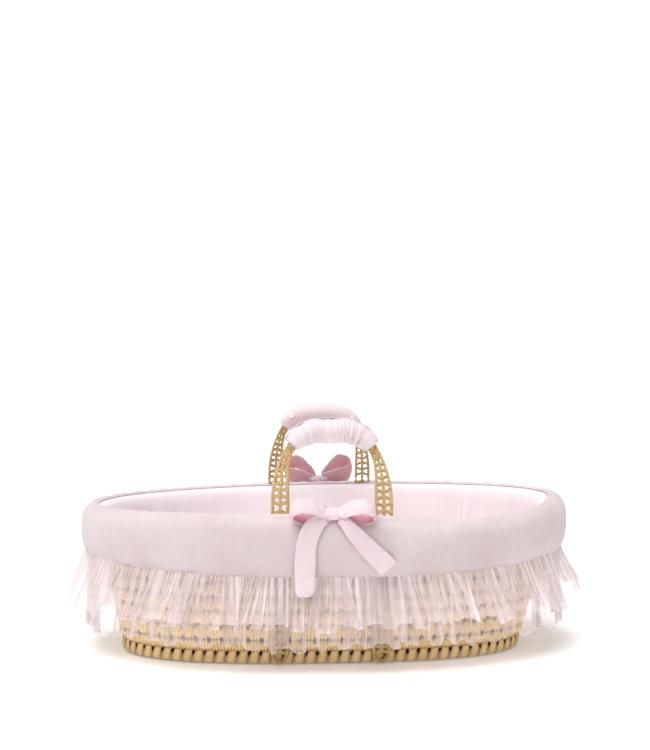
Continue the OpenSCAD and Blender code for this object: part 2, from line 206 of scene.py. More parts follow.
wall_low, wall_high = box("woven_wall")
coil_low, coil_high = box("foot_coil")
top_l, top_w = wall_high[:2]
foot_l, foot_w = coil_high[:2]
wall_thick = 8
wall_round = (2.6, 2.08)           # roundness of the oval at the foot and at the rim
wall_flare = [(0, 0), (0.055, 0.13), (0.13, 0.22), (0.33, 0.40), (0.56, 0.60), (0.81, 0.80), (1, 1)]


def wall_row(z, inset=0):
    """The wall's oval at a height"""
    share = np.interp((z - wall_low[2]) / (wall_high[2] - wall_low[2]), *zip(*wall_flare))
    return (foot_l + share * (top_l - foot_l) - inset, foot_w + share * (top_w - foot_w) - inset,
            wall_round[0] + share * (wall_round[1] - wall_round[0]), z)


def settled(grid):
    """Bends a grid as a used basket bends: the rim sags at the front right and rises a little
    towards the foot end, and the bottom stands a little nearer the head end"""
    x, y, z = np.moveaxis(grid, -1, 0)
    sag = 20 * np.exp(-((x - 240) / 150) ** 2) * np.clip(-y / 90, 0, 1) - 6 * x / top_l
    bent = grid.copy()
    bent[..., 0] -= 7 * np.clip((160 - z) / 160, 0, 1)
    bent[..., 2] -= sag * np.clip((z - 150) / 90, 0, 1)
    return bent


weave_rows, row_steps = 9, 7
strips, strip_steps = 320, 4
stitch_every = 4                   # strips from one stitch gap to the next, about 22 mm
dice = np.random.default_rng(11)
heights = np.linspace(wall_low[2], wall_high[2], weave_rows * row_steps + 1)
outer = ovals([wall_row(z) for z in heights], strips * strip_steps)
row_of, step_of = np.divmod(np.arange(len(heights)), row_steps)
strip_of, part_of = np.divmod(np.arange(strips * strip_steps), strip_steps)
slip = dice.integers(0, stitch_every, weave_rows + 1)
leaf_tone = dice.random((weave_rows + 1, strips))
leaf_lift = dice.normal(0, 0.35, (weave_rows + 1, strips))
bulge = np.sin(np.pi * step_of / row_steps) ** 0.55
across = np.sin(np.pi * part_of / strip_steps) ** 0.7
relief = 2.4 * bulge[:, None] + 1.5 * across[None] + leaf_lift[row_of][:, strip_of]
stitched_strip = (strip_of[None] + slip[row_of][:, None]) % stitch_every == 0
stitch = stitched_strip & np.isin(step_of, (0, 1, 6))[:, None]
relief -= 2.5 * stitch
# painted shade: the wall is darkened at the row seams, the strip edges, the stitches and behind the
# lashings, where shade falls
shade_behind_lashing = np.clip((25 - heights) / 3, 0, 1)[:, None]
gaps = 0.6 * (step_of == 0)[:, None] + 0.3 * (part_of == 0)[None] + 0.8 * stitch + 0.9 * shade_behind_lashing
gaps = np.clip(gaps, 0, 1)
outer += outward(outer) * (relief - 4.4)[..., None]
inner_heights = np.linspace(wall_high[2], wall_low[2], 12)
inner = ovals([wall_row(z, wall_thick) for z in inner_heights], strips * strip_steps)
wall = add_grids("palm_wall", [settled(np.vstack([outer, inner]))], palm, closed=True)
paint(wall, "leaf", np.vstack([leaf_tone[row_of][:, strip_of], np.full(inner.shape[:2], 0.4)]))
# the inner face gets an even painted shade
paint(wall, "gap", np.vstack([gaps, np.full(inner.shape[:2], 0.3)]))
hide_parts("woven_wall")
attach(wall, "basket")


def round_ring(half_l, half_w, roundness, z, radius, turn, count, high=None):
    """A round cord bent into an oval; high is its upright radius if it isn't quite round"""
    rows = []
    for v in turn:
        wider = radius * math.cos(v)
        rows.append((half_l + wider, half_w + wider, roundness, z + (high or radius) * math.sin(v)))
    return ovals(rows, count)


def add_coil(name, half_l, half_w, roundness, z, radius, wraps, slant=0.6, steps=6, sides=14):
    """A coil bound with slanting turns of leaf"""
    turn = np.linspace(0, 2 * np.pi, sides, endpoint=False)
    rings = round_ring(half_l, half_w, roundness, z, radius, turn, wraps * steps)
    phase = np.arange(wraps * steps)[None] / steps + slant * turn[:, None] / (2 * np.pi)
    # the slant is taken back where the turns close, so that each turn of leaf is unbroken
    phase = phase - slant * (turn[:, None] > np.pi) * (turn[:, None] - np.pi) / np.pi
    fullness = np.abs(np.sin(np.pi * phase)) ** 0.5
    rings += outward(rings, closed=True) * (1.4 * (fullness - 1))[..., None]
    tones = np.random.default_rng(wraps).random(wraps + 2)
    made = add_grids(name, [settled(rings)], palm, closed=True)
    paint(made, "leaf", tones[np.floor(phase).astype(int) + 1])
    # painted shade between the turns of leaf, and a painted contact shadow along the underside where the
    # coil meets the floor
    painted_contact_shadow = np.clip((6 - rings[..., 2]) / 3, 0, 1)
    paint(made, "gap", np.clip(1.1 - 1.7 * fullness + painted_contact_shadow, 0, 1))
    return made


coil_radius = (coil_high[2] - coil_low[2]) / 2
foot = add_coil("palm_foot_coil", foot_l - coil_radius, foot_w - coil_radius, wall_round[0],
                coil_low[2] + coil_radius, coil_radius, wraps=160)
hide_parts("foot_coil")
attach(foot, "basket")

rim_low, rim_high = box("rim_coil")
rim_radius = (rim_high[2] - rim_low[2]) / 2
rim = add_coil("palm_rim_coil", rim_high[0] - rim_radius, rim_high[1] - rim_radius, wall_round[1],
               rim_low[2] + rim_radius, rim_radius, wraps=150, steps=4, sides=10)
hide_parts("rim_coil")
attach(rim, "basket")

# The floor is one flat coil wound inwards from the foot, sewn turn to turn.
floor_high = box("woven_base")[1]
coil_turns, turn_steps, floor_columns = 9, 6, 480
reach = np.linspace(0.02, 1, coil_turns * turn_steps + 1)
groove = 1 - np.abs(np.sin(np.pi * reach * coil_turns)) ** 0.6
floor_l, floor_w, floor_top = floor_high
under = ovals([(floor_l - floor_w * (1 - r), floor_w * r, wall_round[0], 0) for r in reach], floor_columns)
binding = np.abs(np.sin(np.pi * np.arange(floor_columns) / 3)) ** 0.5
under[..., 2] = 2.2 * groove[:, None] + 0.7 * (1 - binding)[None]
over = under[::-1].copy()
over[..., 2] = floor_top - 0.3 - over[..., 2]
floor = add_grids("palm_floor", [settled(np.vstack([under, over]))[:, ::-1]], palm, closed=True)
paint(floor, "leaf", np.tile(np.random.default_rng(5).random(floor_columns), 2 * len(reach)))
# painted shade in the grooves between the turns
paint(floor, "gap", np.tile(np.concatenate([groove, groove[::-1]])[:, None] * 0.8, floor_columns))
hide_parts("woven_base")
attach(floor, "basket")

# Bands of leaf lash the foot coil to the first row of the wall.
lashings = 92
# how far a lashing stands out, its height and half its width in steps
lashing_line = [(3, 3.5, 6), (0.8, 8, 6), (1.4, 12, 5.8), (1.0, 16, 4.7), (-0.5, 20, 4.4), (-3, 23.5, 5.2)]
lash_rings = [oval(*wall_row(max(z, wall_low[2]), -out if z > wall_low[2] else out - 2), lashings * 12)
              for out, z, _ in lashing_line]
bands = []
for k in range(lashings):
    middle = 12 * k + 6
    rows = []
    for step, ((_, z, spread), ring) in enumerate(zip(lashing_line, lash_rings)):
        lean = round(0.6 * step)
        pick = [(middle + lean + round(c * spread)) % len(ring) for c in (-1, -0.35, 0.35, 1)]
        edge = np.array([ring[p] for p in pick])
        edge[:, 2] = z
        rows.append(edge)
    bands.append(settled(np.array(rows)))


def thick(grid, depth):
    """A strip with its thickness: each row becomes a closed loop, the outer side first.
    depth is a number or one for each column."""
    along, across = np.gradient(grid, axis=0), np.gradient(grid, axis=1)
    normal = np.cross(across, along)
    normal /= np.maximum(np.linalg.norm(normal, axis=2, keepdims=True), 1e-9)
    half = (np.broadcast_to(depth, grid.shape[:2]) / 2)[..., None]
    return np.concatenate([grid + normal * half, (grid - normal * half)[:, ::-1]], 1)


lashing = add_grids("palm_lashings", [thick(band, 1.6) for band in bands], palm, caps=True)
lash_tone = np.random.default_rng(8).random(lashings)
paint(lashing, "leaf", np.repeat(0.1 + 0.9 * lash_tone, len(lashing_line) * 8))
# painted shade along both edges of each band
paint(lashing, "gap", np.tile([0.5, 0, 0, 0.5], len(lashing_line) * 2 * lashings))
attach(lashing, "basket")


# --- Outer valance, its hem and the rim piping ---------------------------------------
# A padded band of pale pink cotton pique, sewn to the lining along the rim and left open
# there for the four handle legs. It is joined in one upright seam at the foot end.

def smooth_line(points, count):
    """Even steps along a smooth curve through the points"""
    p = np.array(points, float)
    p = np.vstack([2 * p[0] - p[1], p, 2 * p[-1] - p[-2]])
    u = np.linspace(0, len(p) - 3, 12 * len(p))
    i = np.minimum(u.astype(int), len(p) - 4)
    f = (u - i)[:, None]
    a, b, c, d = p[i], p[i + 1], p[i + 2], p[i + 3]
    curve = b + 0.5 * f * (c - a + f * (2 * a - 5 * b + 4 * c - d + f * (3 * (b - c) + d - a)))
    run = np.concatenate([[0], np.cumsum(np.linalg.norm(np.diff(curve, axis=0), axis=1))])
    even = np.linspace(0, run[-1], count)
    return np.stack([np.interp(even, run, column) for column in curve.T], 1)


def cotton(name, light, shade, thread, relief=0.3, sheen=0.25, loose=1.0, dimple=0.5):
    """Woven cotton: matt, with a soft sheen of loose fibres, small dimples a thread apart with painted shade
    in them, and a slow change of tone. loose is 0 for dimples in rows and 1 for scattered ones; dimple is
    how deep the dimples are and how dark their painted shade is."""
    made, tree, shader = start_material(name, {"Roughness": 0.9, "Sheen Weight": sheen,
                                               "Sheen Roughness": 0.4, "Specular IOR Level": 0.15})
    place = node(tree, "TexCoord").outputs["Object"]
    turned = node(tree, "Mapping", {"Vector": place, "Rotation": (0.0, math.pi / 4, 0.0)}).outputs[0]
    weave = node(tree, "TexVoronoi", {"Vector": turned, "Scale": 1 / (thread * MM), "Randomness": loose})
    fibre = node(tree, "TexNoise", {"Vector": place, "Scale": 1 / (0.8 * MM)})
    slow = node(tree, "TexNoise", {"Vector": place, "Scale": 1 / (70 * MM), "Detail": 3.0}).outputs["Fac"]
    dips = node(tree, "Math", {0: weave.outputs["Distance"], 1: dimple}, operation="MULTIPLY")
    height = node(tree, "Math", {0: dips.outputs[0], 1: fibre.outputs["Fac"]}, operation="ADD")
    # painted shade: the dimples are darkened towards the shade colour, over a slow change of tone
    dimple_shade = node(tree, "Math", {0: slow, 1: dips.outputs[0]}, operation="MULTIPLY_ADD")
    dimple_shade.inputs[2].default_value = 0.25
    colour = node(tree, "Mix", {0: slow, 6: linear(light), 7: linear(shade)}, data_type="RGBA")
    tone_and_dimple_shade = node(tree, "Mix", {0: dimple_shade.outputs[0], 6: colour.outputs[2], 7: linear(shade)}, data_type="RGBA")
    tree.links.new(tone_and_dimple_shade.outputs[2], shader.inputs["Base Color"])
    bumps = node(tree, "Bump", {"Height": height.outputs[0], "Strength": relief, "Distance": 0.5 * MM})
    tree.links.new(bumps.outputs[0], shader.inputs["Normal"])
    return made


pique = cotton("cotton_pique", "#F6EBEC", "#D3C1C4", thread=4.4, relief=1.0, loose=0.15, dimple=0.9)
rim_cord = cotton("pale_piping_cotton", "#F7E8EA", "#EED6DB", thread=1.0)

cover_low, cover_high = box("outer_valance")
cover_l, cover_w, cover_top = cover_high
hem_z = cover_low[2]
hem_rise = 18                      # the hem is cut higher at the two ends
cover_columns = 640
cover_u = np.arange(cover_columns) / cover_columns
leg_x = 84                         # middle of a handle leg, from the middle of the basket
slit_half, slit_open = 23, 6.5


def raised(grid, share):
    """Lifts a share of a grid's points as the hem rises towards the ends"""
    return grid + share[..., None] * [0, 0, hem_rise] * (np.abs(grid[..., :1]) / cover_l) ** 2.6


def open_slits(grid, way, below_top=7):
    """Draws the seam apart where a handle leg comes through; way is 1 outwards, -1 inwards"""
    near_top = np.clip((grid[..., 2] - cover_top + below_top) / below_top, 0, 1)
    beside = np.exp(-((np.abs(grid[..., 0]) - leg_x) / slit_half) ** 4)
    grid[..., 1] += way * slit_open * near_top * beside * np.sign(grid[..., 1])


outer_line = [(8, hem_z), (3, hem_z + 14), (0, hem_z + 38), (0, hem_z + 62), (2.6, cover_top - 20),
              (8.5, cover_top - 9), (16, cover_top - 2.3), (23, cover_top), (28.5, cover_top - 1.6),
              (31, cover_top - 4.5), (32, cover_top - 8.5)]
inner_line = [(28, cover_top - 10), (20, cover_top - 16), (19, hem_z + 50), (19, hem_z)]
outer_rows = 36
band_line = np.vstack([smooth_line(outer_line, outer_rows), smooth_line(inner_line, 8)])
band = ovals([(cover_l - i, cover_w - i, wall_round[1], z) for i, z in band_line], cover_columns)
sag = np.sin(np.pi * np.clip((band_line[:, 1] - hem_z) / (cover_top - hem_z), 0, 1))[:, None]
waves = 0.9 * ripple(cover_u, 7, 24, 21)[None] * sag + 0.5 * ripple(cover_u, 40, 90, 22)[None] * (1 - sag)
creases = 0.2 * ripple(cover_u[None] + 0.0012 * band_line[:, 1:] / 10, 60, 130, 23) * sag
from_foot_seam = np.minimum(cover_u, 1 - cover_u) * 2250
seam_dip = -1.8 * np.exp(-(from_foot_seam / 3.2) ** 2)[None]
band[:outer_rows] += (outward(band) * (waves + creases + seam_dip)[..., None])[:outer_rows]
open_slits(band, 1)
low_share = np.clip((cover_top - 15 - band[..., 2]) / (cover_top - 15 - hem_z), 0, 1)
valance = add_grids("pique_valance", [settled(raised(band, low_share))], pique, closed=True)
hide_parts("outer_valance")
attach(valance, "basket")

# The hem is the band's lower edge turned up and stitched.
hem_turn = np.linspace(0, 2 * np.pi, 12, endpoint=False)
hem_ring = round_ring(cover_l - 10.5, cover_w - 10.5, wall_round[1], hem_z - 0.6, 2.2, hem_turn,
                      cover_columns, high=2.6)
hem_ring += outward(hem_ring, closed=True) * (0.35 * ripple(cover_u, 60, 140, 24))[None, :, None]
hem = add_grids("pique_hem", [settled(raised(hem_ring, np.ones(hem_ring.shape[:2])))], pique, closed=True)
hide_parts("valance_hem")
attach(hem, "basket")

piping_radius = 1.1
seam_in = 31.5                     # the rim seam, in from the cover's widest line
seam_l, seam_w = cover_l - seam_in, cover_w - seam_in
pipe_ring = round_ring(seam_l, seam_w, wall_round[1], cover_top - 3.2, piping_radius, hem_turn[::2],
                       cover_columns)
open_slits(pipe_ring, 1)
piping = add_grids("rim_seam_piping", [settled(pipe_ring)], rim_cord, closed=True)
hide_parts("rim_piping")
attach(piping, "basket")


# --- Inner lining and its elastic ----------------------------------------------------
# Thinner padded cotton that rolls over the rim and falls to the mattress. Elastic gathers
# its lower edge, so soft pleats fan out at the head and foot and fade along the sides.

lining_cotton = cotton("lining_cotton", "#FBF2F4", "#F4E7EA", thread=1.4)
lining_low = box("inner_lining")[0]
bed_low, bed_high = box("fitted_sheet")
bed_l, bed_w, bed_top = bed_high
bed_round = 2.42
lining_foot = lining_low[2] - 9.5     # it goes down a little way beside the mattress

# in from the rim seam, down from the cover's top
roll = [(-1.5, 8.5), (-0.5, 5), (2.5, 3.2), (9, 4.2), (18, 11), (25, 27)]
roll = [(seam_l - i, seam_w - i, wall_round[1] + 0.02 * (i > 20), cover_top - down) for i, down in roll]
fall = [wall_row(z, wall_thick + 17) for z in (205, 175, 145, 115, 90)]
foot_rows = [(bed_l + 5, bed_w + 3, 2.5, lining_foot + 20), (bed_l + 4, bed_w + 1.5, bed_round, lining_foot)]
lining_face = smooth_line(roll + fall + foot_rows, 50)
back_rows = [(bed_l + 7, bed_w + 6, 2.5, lining_foot),
             wall_row(90, wall_thick + 6),
             wall_row(175, wall_thick + 6),
             (top_l - 17, top_w - 17, wall_round[1], wall_high[2]),
             (top_l - 16, top_w - 16, wall_round[1], cover_top - 11),
             (seam_l, seam_w, wall_round[1], cover_top - 10)]
lining_back = smooth_line(back_rows, 12)
lining_grid = ovals(lining_face, cover_columns * 2)
lining_u = np.arange(cover_columns * 2) / (cover_columns * 2)


def gathers(u, folds, seed):
    """Pleats from 0 in the narrow valleys to 1 on the round ridges, uneven in width"""
    phase = folds * u + 0.45 * ripple(u, folds // 6, folds // 3, seed)
    return np.abs(np.sin(np.pi * phase)) ** 0.7


drop = np.clip((cover_top - 14 - lining_face[:, 3]) / (cover_top - 14 - lining_foot), 0, 1)[:, None]
at_ends = np.clip((np.abs(lining_grid[..., 0]) / bed_l - 0.45) / 0.4, 0, 1) ** 1.5
pleat = gathers(lining_u + 0.0006 * np.sin(5 * drop), 84, 31)
pleat *= (0.55 + 0.45 * ripple(lining_u, 20, 50, 32))[None]
fine = gathers(lining_u, 190, 33)[None]
fullness = (0.16 + 0.84 * at_ends) * (2.6 + 8 * drop) * np.clip(5 * drop, 0, 1)
fullness = fullness * np.sin(np.pi * np.clip(0.08 + 0.88 * drop, 0, 1)) ** 0.3
slack = 1.6 * ripple(lining_u, 5, 18, 34)[None] * np.sin(np.pi * drop)
into_basket = outward(lining_grid)             # the rings run downwards, so these normals face inwards
lining_grid += into_basket * (fullness * pleat + 0.9 * fine * drop * at_ends + slack - 1.5)[..., None]
# the pleats end against the mattress
near_bed = (np.abs(lining_grid[..., :2] / [bed_l + 1, bed_w + 1]) ** bed_round).sum(-1)
beside_bed = (lining_grid[..., 2] < bed_top + 5) & (near_bed < 1)
lining_grid[..., :2] *= np.where(beside_bed, near_bed, 1)[..., None] ** (-1 / bed_round)
lining_all = np.vstack([lining_grid, ovals(lining_back, cover_columns * 2)])
open_slits(lining_all, -1)
lining_all[..., 0] += 4.5 * np.clip((100 - lining_all[..., 2]) / 45, 0, 1)
lining = add_grids("padded_lining", [settled(lining_all)[:, ::-1]], lining_cotton, closed=True)
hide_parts("inner_lining")
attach(lining, "basket")

elastic_cord = cotton("white_elastic", "#F3F0F0", "#DDD8D9", thread=1.2)
elastic_low, elastic_high = box("lining_elastic")
elastic_ring = round_ring(elastic_high[0] - 2, elastic_high[1] - 2, 2.55, elastic_low[2] + 2, 1.8,
                          hem_turn[::2], cover_columns, high=1.5)
elastic = add_grids("lining_elastic_cord", [elastic_ring], elastic_cord, closed=True)
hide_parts("lining_elastic")
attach(elastic, "basket")


# --- Tulle frill ---------------------------------------------------------------------
# Two layers of stiff white net, gathered on to the hem. They hang in broad flat panels with
# narrow folds between, where the net doubles and looks white; the short layer stands out.

def net(name, colour, clear, dense):
    """Fine nylon tulle: mostly holes, so a flat panel is nearly clear and a fold looks white. The
    threads are far finer than can show. fold is painted from 0 on a panel to 1 along a fold."""
    made, tree, shader = start_material(name, {"Base Color": linear(colour), "Roughness": 0.8,
                                               "Sheen Weight": 0.3, "Specular IOR Level": 0.1})
    place = node(tree, "TexCoord").outputs["Object"]
    fold = node(tree, "Attribute", attribute_name="fold").outputs["Fac"]
    uneven = node(tree, "TexNoise", {"Vector": place, "Scale": 1 / (11 * MM), "Detail": 1.0}).outputs["Fac"]
    layered = node(tree, "Math", {0: uneven, 1: 0.3, 2: fold}, operation="MULTIPLY_ADD")
    cover = node(tree, "MapRange", {"Value": layered.outputs[0], "From Min": 0.05, "From Max": 1.15,
                                    "To Min": clear, "To Max": dense})
    tree.links.new(cover.outputs[0], shader.inputs["Alpha"])
    return made


tulle = net("white_tulle", "#F4E7E9", clear=0.14, dense=0.92)
bpy.context.scene.cycles.transparent_max_bounces = 32
frill_z = hem_z - 2


def add_frill(name, low_z, inset, flare, folds, deep, way, seed):
    """One gathered layer. flare is how far its lower edge stands out, deep how deep its folds are, and
    way is 1 if they stand outwards from its own line or -1 inwards."""
    columns, rows = folds * 16, 22
    u = np.arange(columns) / columns
    phase = 2 * np.pi * (folds * u + 1.1 * ripple(u, folds // 9, folds // 3, seed))
    tall = np.clip(0.62 + 0.5 * ripple(u, folds // 5, folds // 2, seed + 1), 0.12, 1.4)
    lean_over = 0.9 * ripple(u, 12, 40, seed + 2)
    lifted = ripple(u, 4, 14, seed + 3)
    panels = np.tanh(2.5 * ripple(u, 26, 64, seed + 4))
    at_foot = np.exp(-(np.minimum(u, 1 - u) / 0.035) ** 2)
    fine = gathers(u, folds * 3, seed + 5)
    rings, creased = [], []
    for s in np.linspace(0, 1, rows):
        reach = flare * s ** 1.2
        ring = oval(cover_l - inset + reach, cover_w - inset + 0.7 * reach, wall_round[1],
                    frill_z + s * (low_z - frill_z), columns)
        out = np.roll(ring, -1, 0) - np.roll(ring, 1, 0)
        out = np.stack([out[:, 1], -out[:, 0], out[:, 2]], 1)
        out /= np.linalg.norm(out, axis=1, keepdims=True)
        side = np.stack([-out[:, 1], out[:, 0], out[:, 2]], 1)
        at_end = np.clip((np.abs(ring[:, 0]) / cover_l - 0.84) / 0.12, 0, 1)
        amount = (1.5 + deep * s ** 0.7) * tall * (1 - 0.45 * at_end)
        turn = phase + 0.9 * s * lifted
        turn = turn - 0.55 * np.sin(turn)
        ring += out * (amount * (np.cos(turn) + way) + 6 * s * lifted + 2.2 * fine * (1 - s) ** 1.5)[:, None]
        leaning = np.sign(lean_over) * np.abs(lean_over) ** 0.3
        ring += side * (0.75 * amount * np.sin(turn) * leaning + 6 * s * lean_over)[:, None]
        ring[:, 2] += s * (4.5 * panels + 4 * lifted + 1.2 * np.cos(turn) + (low_z > 60) * 22 * at_foot)
        rings.append(raised(ring, np.full(columns, 1 - s)))
        on_fold = np.abs(np.sin(turn)) ** 10 * np.clip(1.1 * tall, 0.3, 1)
        on_fold += 0.3 * np.clip(-np.cos(turn), 0, 1) ** 2
        on_fold += 0.6 * fine ** 6 * (1 - s) ** 1.2 + 0.2 * (s > 0.99)
        creased.append(np.clip(on_fold + (0.55 - on_fold) * 0.8 * at_end, 0, 1))
    made = add_grids(name, [np.array(rings)[::-1]], tulle)
    paint(made, "fold", np.array(creased)[::-1])
    return made


short_low = box("tulle_frill_short")[0]
long_low = box("tulle_frill_long")[0]
short_frill = add_frill("tulle_short_layer", short_low[2] + 3, 12, 34, folds=74, deep=8, way=1, seed=41)
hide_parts("tulle_frill_short")
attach(short_frill, "basket")

long_frill = add_frill("tulle_long_layer", long_low[2] + 2, 13, 10, folds=66, deep=8, way=-1, seed=51)
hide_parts("tulle_frill_long")
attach(long_frill, "basket")


# --- Braided straps and handle arches -------------------------------------------------
# Palm leaf twisted into cords and braided as a flat ladder: three ribs with rungs between,
# which leaves two rows of holes. It runs down the wall, loops under the foot coil and
# stands up through the cover as the two handles.

braid = palm_leaf("braided_palm_cord", "#EFD29C", "#8E6431", "#25150A")
ply_radius = 1.75


def add_strands(name, lines, radius, finish):
    """Round strands, each along its own line of points"""
    drawn = bpy.data.curves.new(name, "CURVE")
    drawn.dimensions = "3D"
    drawn.bevel_depth, drawn.bevel_resolution, drawn.use_fill_caps = radius * MM, 1, True
    for line in lines:
        strand = drawn.splines.new("POLY")
        strand.points.add(len(line) - 1)
        strand.points.foreach_set("co", np.hstack([line * MM, np.ones((len(line), 1))]).ravel())
    holder = bpy.data.objects.new(name, drawn)
    bpy.context.collection.objects.link(holder)
    mesh = bpy.data.meshes.new_from_object(holder.evaluated_get(bpy.context.evaluated_depsgraph_get()))
    bpy.data.objects.remove(holder)
    mesh.materials.clear()
    mesh.materials.append(finish)
    made = bpy.data.objects.new(name, mesh)
    bpy.context.collection.objects.link(made)
    tones = np.random.default_rng(len(lines)).random(len(lines)) * 0.7 + 0.15
    sizes = [len(line) for line in lines]
    per_point = len(mesh.vertices) // max(sum(sizes), 1)
    values = np.full(len(mesh.vertices), 0.5)
    start = 0
    for tone, size in zip(tones, sizes):
        values[start:start + size * per_point] = tone
        start += size * per_point
    paint(made, "leaf", values)
    return made


def ladder(centre, across, facing, half, rung_step=11):
    """The strands of a braided strap along a line, with its directions across and outwards"""
    run = np.concatenate([[0], np.cumsum(np.linalg.norm(np.diff(centre, axis=0), axis=1))])
    steps = np.arange(0, run[-1], 1.6)

    def at(where, values):
        return np.stack([np.interp(where, run, column) for column in values.T], 1)

    middle, side, front = at(steps, centre), at(steps, across), at(steps, facing)
    reach = np.interp(steps, run, half) - 1.55 * ply_radius
    lines = []
    for rib in (-1, 0, 1):
        for ply in (0, 1):
            turn = 2 * np.pi * steps / 13 + np.pi * ply + 2 * rib
            sideways, forwards = rib * reach + 1.35 * np.cos(turn), 1.65 * np.sin(turn)
            lines.append(middle + side * sideways[:, None] + front * forwards[:, None])
    for k, start in enumerate(np.arange(rung_step / 2, run[-1] - rung_step / 2, rung_step)):
        for rib in (-1, 1):
            for offset in (-1.4, 1.4):
                where = start + offset + np.linspace(-2.2, 2.2, 5) * (1 if (k + rib) % 2 else -1)
                share = np.linspace(0, 1, 5) * rib
                width = np.interp(where, run, half) - 1.55 * ply_radius
                lift = 1.1 * np.cos(np.pi * np.linspace(-0.5, 0.5, 5)) * (1 if offset > 0 else -1)
                lines.append(at(where, centre) + at(where, across) * (share * width)[:, None]
                             + at(where, facing) * lift[:, None])
    return lines


strap_half, strap_thick = 15, 7
loop_z = 15                        # where the strap's end turns into its loop under the foot


def half_width(row, x):
    """Half an oval's width at a place along it"""
    return row[1] * (1 - (abs(x) / row[0]) ** row[2]) ** (1 / row[2])


strap_top = box("front_left_strap")[1][2]
for side_name, way in (("front", -1), ("back", 1)):
    for end_name, end in (("left", -1), ("right", 1)):
        levels = np.linspace(strap_top + 3.5, loop_z, 60)
        wall_y = np.array([half_width(wall_row(max(z, wall_low[2])), leg_x - strap_half) for z in levels])
        centre = np.stack([np.full(60, end * leg_x), way * (wall_y + 0.6 + strap_thick / 2), levels], 1)
        across = np.tile([1.0, 0, 0], (60, 1))
        facing = np.tile([0, float(way), 0], (60, 1))
        strands = ladder(centre, across, facing, np.full(60, strap_half))
        bend = np.linspace(0, np.pi, 16)
        for reach, y_step in ((12.3, 1.6), (12.3, -1.6), (9.3, 0)):
            loop_x = end * leg_x + reach * np.cos(bend)
            loop_y = np.full(16, centre[-1, 1] + way * y_step)
            strands.append(np.stack([loop_x, loop_y, loop_z - (reach - 1) * np.sin(bend)], 1))
        strap = add_strands(f"{side_name}_{end_name}_wall_strap", strands, ply_radius, braid)
        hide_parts(f"{side_name}_{end_name}_strap")
        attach(strap, "basket")

joints = {joint["name"]: joint for joint in frame["record"]["behaviour"]["joints"]}
fold_y, fold_z = np.array(joints["back_handle_fold"]["pos_m"])[1:] / MM
arch_heights = {"front": 127, "back": 134}
lean = math.radians(14)


def arch(degrees, high, square=2.9):
    """The handle's middle line and its outward direction, in the handle's own plane"""
    def point(d):
        c, s = np.cos(np.radians(d)), np.sin(np.radians(d))
        across, up = np.abs(c) ** (2 / square), np.abs(s) ** (2 / square)
        return np.stack([leg_x * np.sign(c) * across, 0 * d, high * np.sign(s) * up], 1)
    step = point(degrees + 0.4) - point(degrees - 0.4)
    step /= np.linalg.norm(step, axis=1, keepdims=True)
    return point(degrees), np.stack([step[:, 2], 0 * degrees, -step[:, 0]], 1)


def stand(points, way):
    """From the handle's own plane to its place: y is outwards there, and way is -1 in front"""
    x, y, z = np.moveaxis(points, -1, 0)
    out, up = y * math.cos(lean) - z * math.sin(lean), y * math.sin(lean) + z * math.cos(lean)
    return np.stack([-way * x, way * (fold_y + out), fold_z + up], -1)


arch_share = np.linspace(0, 1, 240)
arch_t = 0.02 + 179.96 * (arch_share - np.sin(2 * np.pi * arch_share) / (2 * np.pi))
narrowing = np.clip(np.minimum(arch_t, 180 - arch_t) / 38, 0, 1)
arch_half = strap_half * (1 - 0.45 * narrowing ** 2 * (3 - 2 * narrowing))
for side_name, way in (("front", -1), ("back", 1)):
    arch_middle, arch_out = arch(arch_t, arch_heights[side_name])
    strands = ladder(arch_middle, arch_out, np.tile([0, 1.0, 0], (240, 1)), arch_half)
    standing_strands = [stand(line, way) for line in strands]
    handle = add_strands(f"{side_name}_braided_handle", standing_strands, ply_radius, braid)
    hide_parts(f"{side_name}_handle")
    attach(handle, f"{side_name}_handle")


# --- Handle covers and snaps ----------------------------------------------------------
# Each grip is wrapped in padded pique. The outer face is gathered on elastic into fine
# upright puckers; a smooth flap closes over the top and the inner face with two snaps.

grip_half_w, grip_half_d = 21, 21.5
grip_s = np.linspace(0, 1, 161)


def grip_surface(share, around_deg, swell):
    """Points of the grip at shares of its length and turns round it from its top; the inner side is
    from 0 to 180 degrees. swell is how far outside the cover's plain shape they stand."""
    middle, out = arch(grip_span[0] + share * (grip_span[1] - grip_span[0]), arch_high)
    pull = np.sin(np.pi * (0.05 + 0.9 * share)) ** 0.2
    turn = np.radians(around_deg)
    rise = (grip_half_d * pull[:, None] + swell) * np.cos(turn)
    spread = (grip_half_w * pull[:, None] + swell) * np.sin(turn)
    grid = middle[:, None] + out[:, None] * rise[..., None]
    grid[..., 1] -= spread
    return grid
